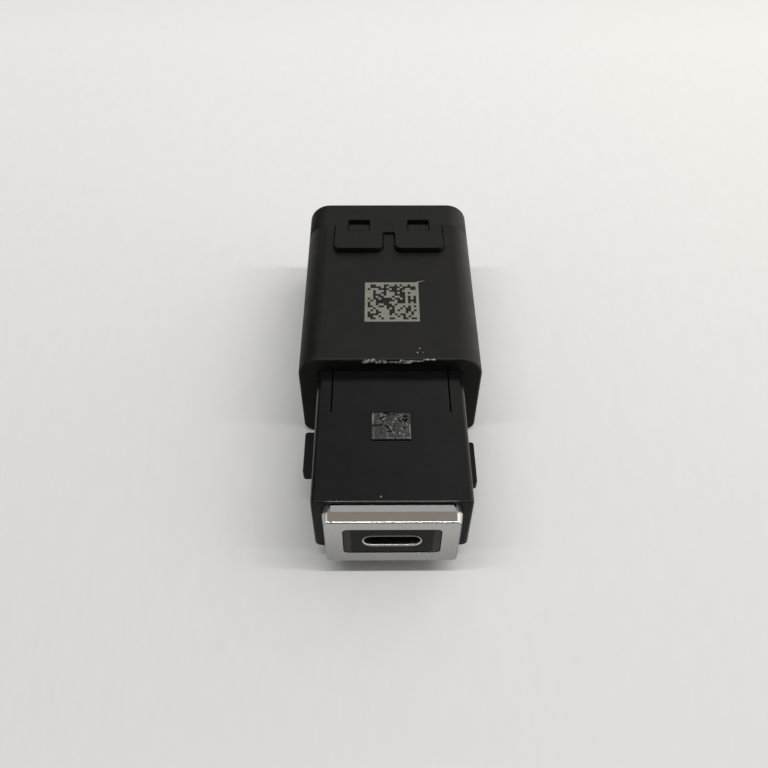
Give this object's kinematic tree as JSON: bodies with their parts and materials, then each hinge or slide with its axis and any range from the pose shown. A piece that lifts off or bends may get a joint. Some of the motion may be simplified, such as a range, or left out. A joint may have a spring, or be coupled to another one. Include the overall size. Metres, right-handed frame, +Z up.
{
  "type": "panel usb-c socket",
  "caption": "Panel-mount charging socket: bright bezel round a USB-C port, black keyed front housing, larger rear housing and a push-fit cap with a socket for the wiring plug.",
  "frame": {"origin": "middle of the whole length and width, on the underside", "axes": "-Y is the side with the port, +Y is the rear socket, +Z is up from the underside, +X is right as seen from the port"},
  "size_m": [0.0306, 0.069, 0.0205],
  "materials": {
    "bezel_chrome": "satin plated, bright edges",
    "insert_plastic": "satin moulded",
    "port_steel": "nickel-plated sheet",
    "tongue_plastic": "satin moulded",
    "contact_gold": "gold-plated strip",
    "front_plastic": "fine moulded texture",
    "rear_plastic": "fine moulded texture",
    "cap_plastic": "fine moulded texture",
    "header_plastic": "satin moulded",
    "pin_tin": "tinned",
    "board_laminate": "solder mask",
    "chip_resin": "moulded resin",
    "coil_powder": "pressed powder",
    "can_aluminium": "drawn can",
    "ceramic_tan": "fired ceramic",
    "resistor_black": "glazed"
  },
  "bodies": {
    "root": {"bezel_frame": "bezel_chrome", "port_insert": "insert_plastic", "port_shell": "port_steel", "port_tongue": "tongue_plastic", "contacts_upper": "contact_gold", "contacts_lower": "contact_gold", "front_housing": "front_plastic", "rear_housing": "rear_plastic", "rear_cap": "cap_plastic", "header_block": "header_plastic", "header_pins_upper": "pin_tin", "header_pins_lower": "pin_tin", "circuit_board": "board_laminate", "controller_chip": "chip_resin", "power_inductor": "coil_powder", "bulk_capacitors": "can_aluminium", "ceramic_capacitors": "ceramic_tan", "switch_transistors": "chip_resin", "surge_diode": "chip_resin", "chip_resistors": "resistor_black"}
  },
  "joints": []
}
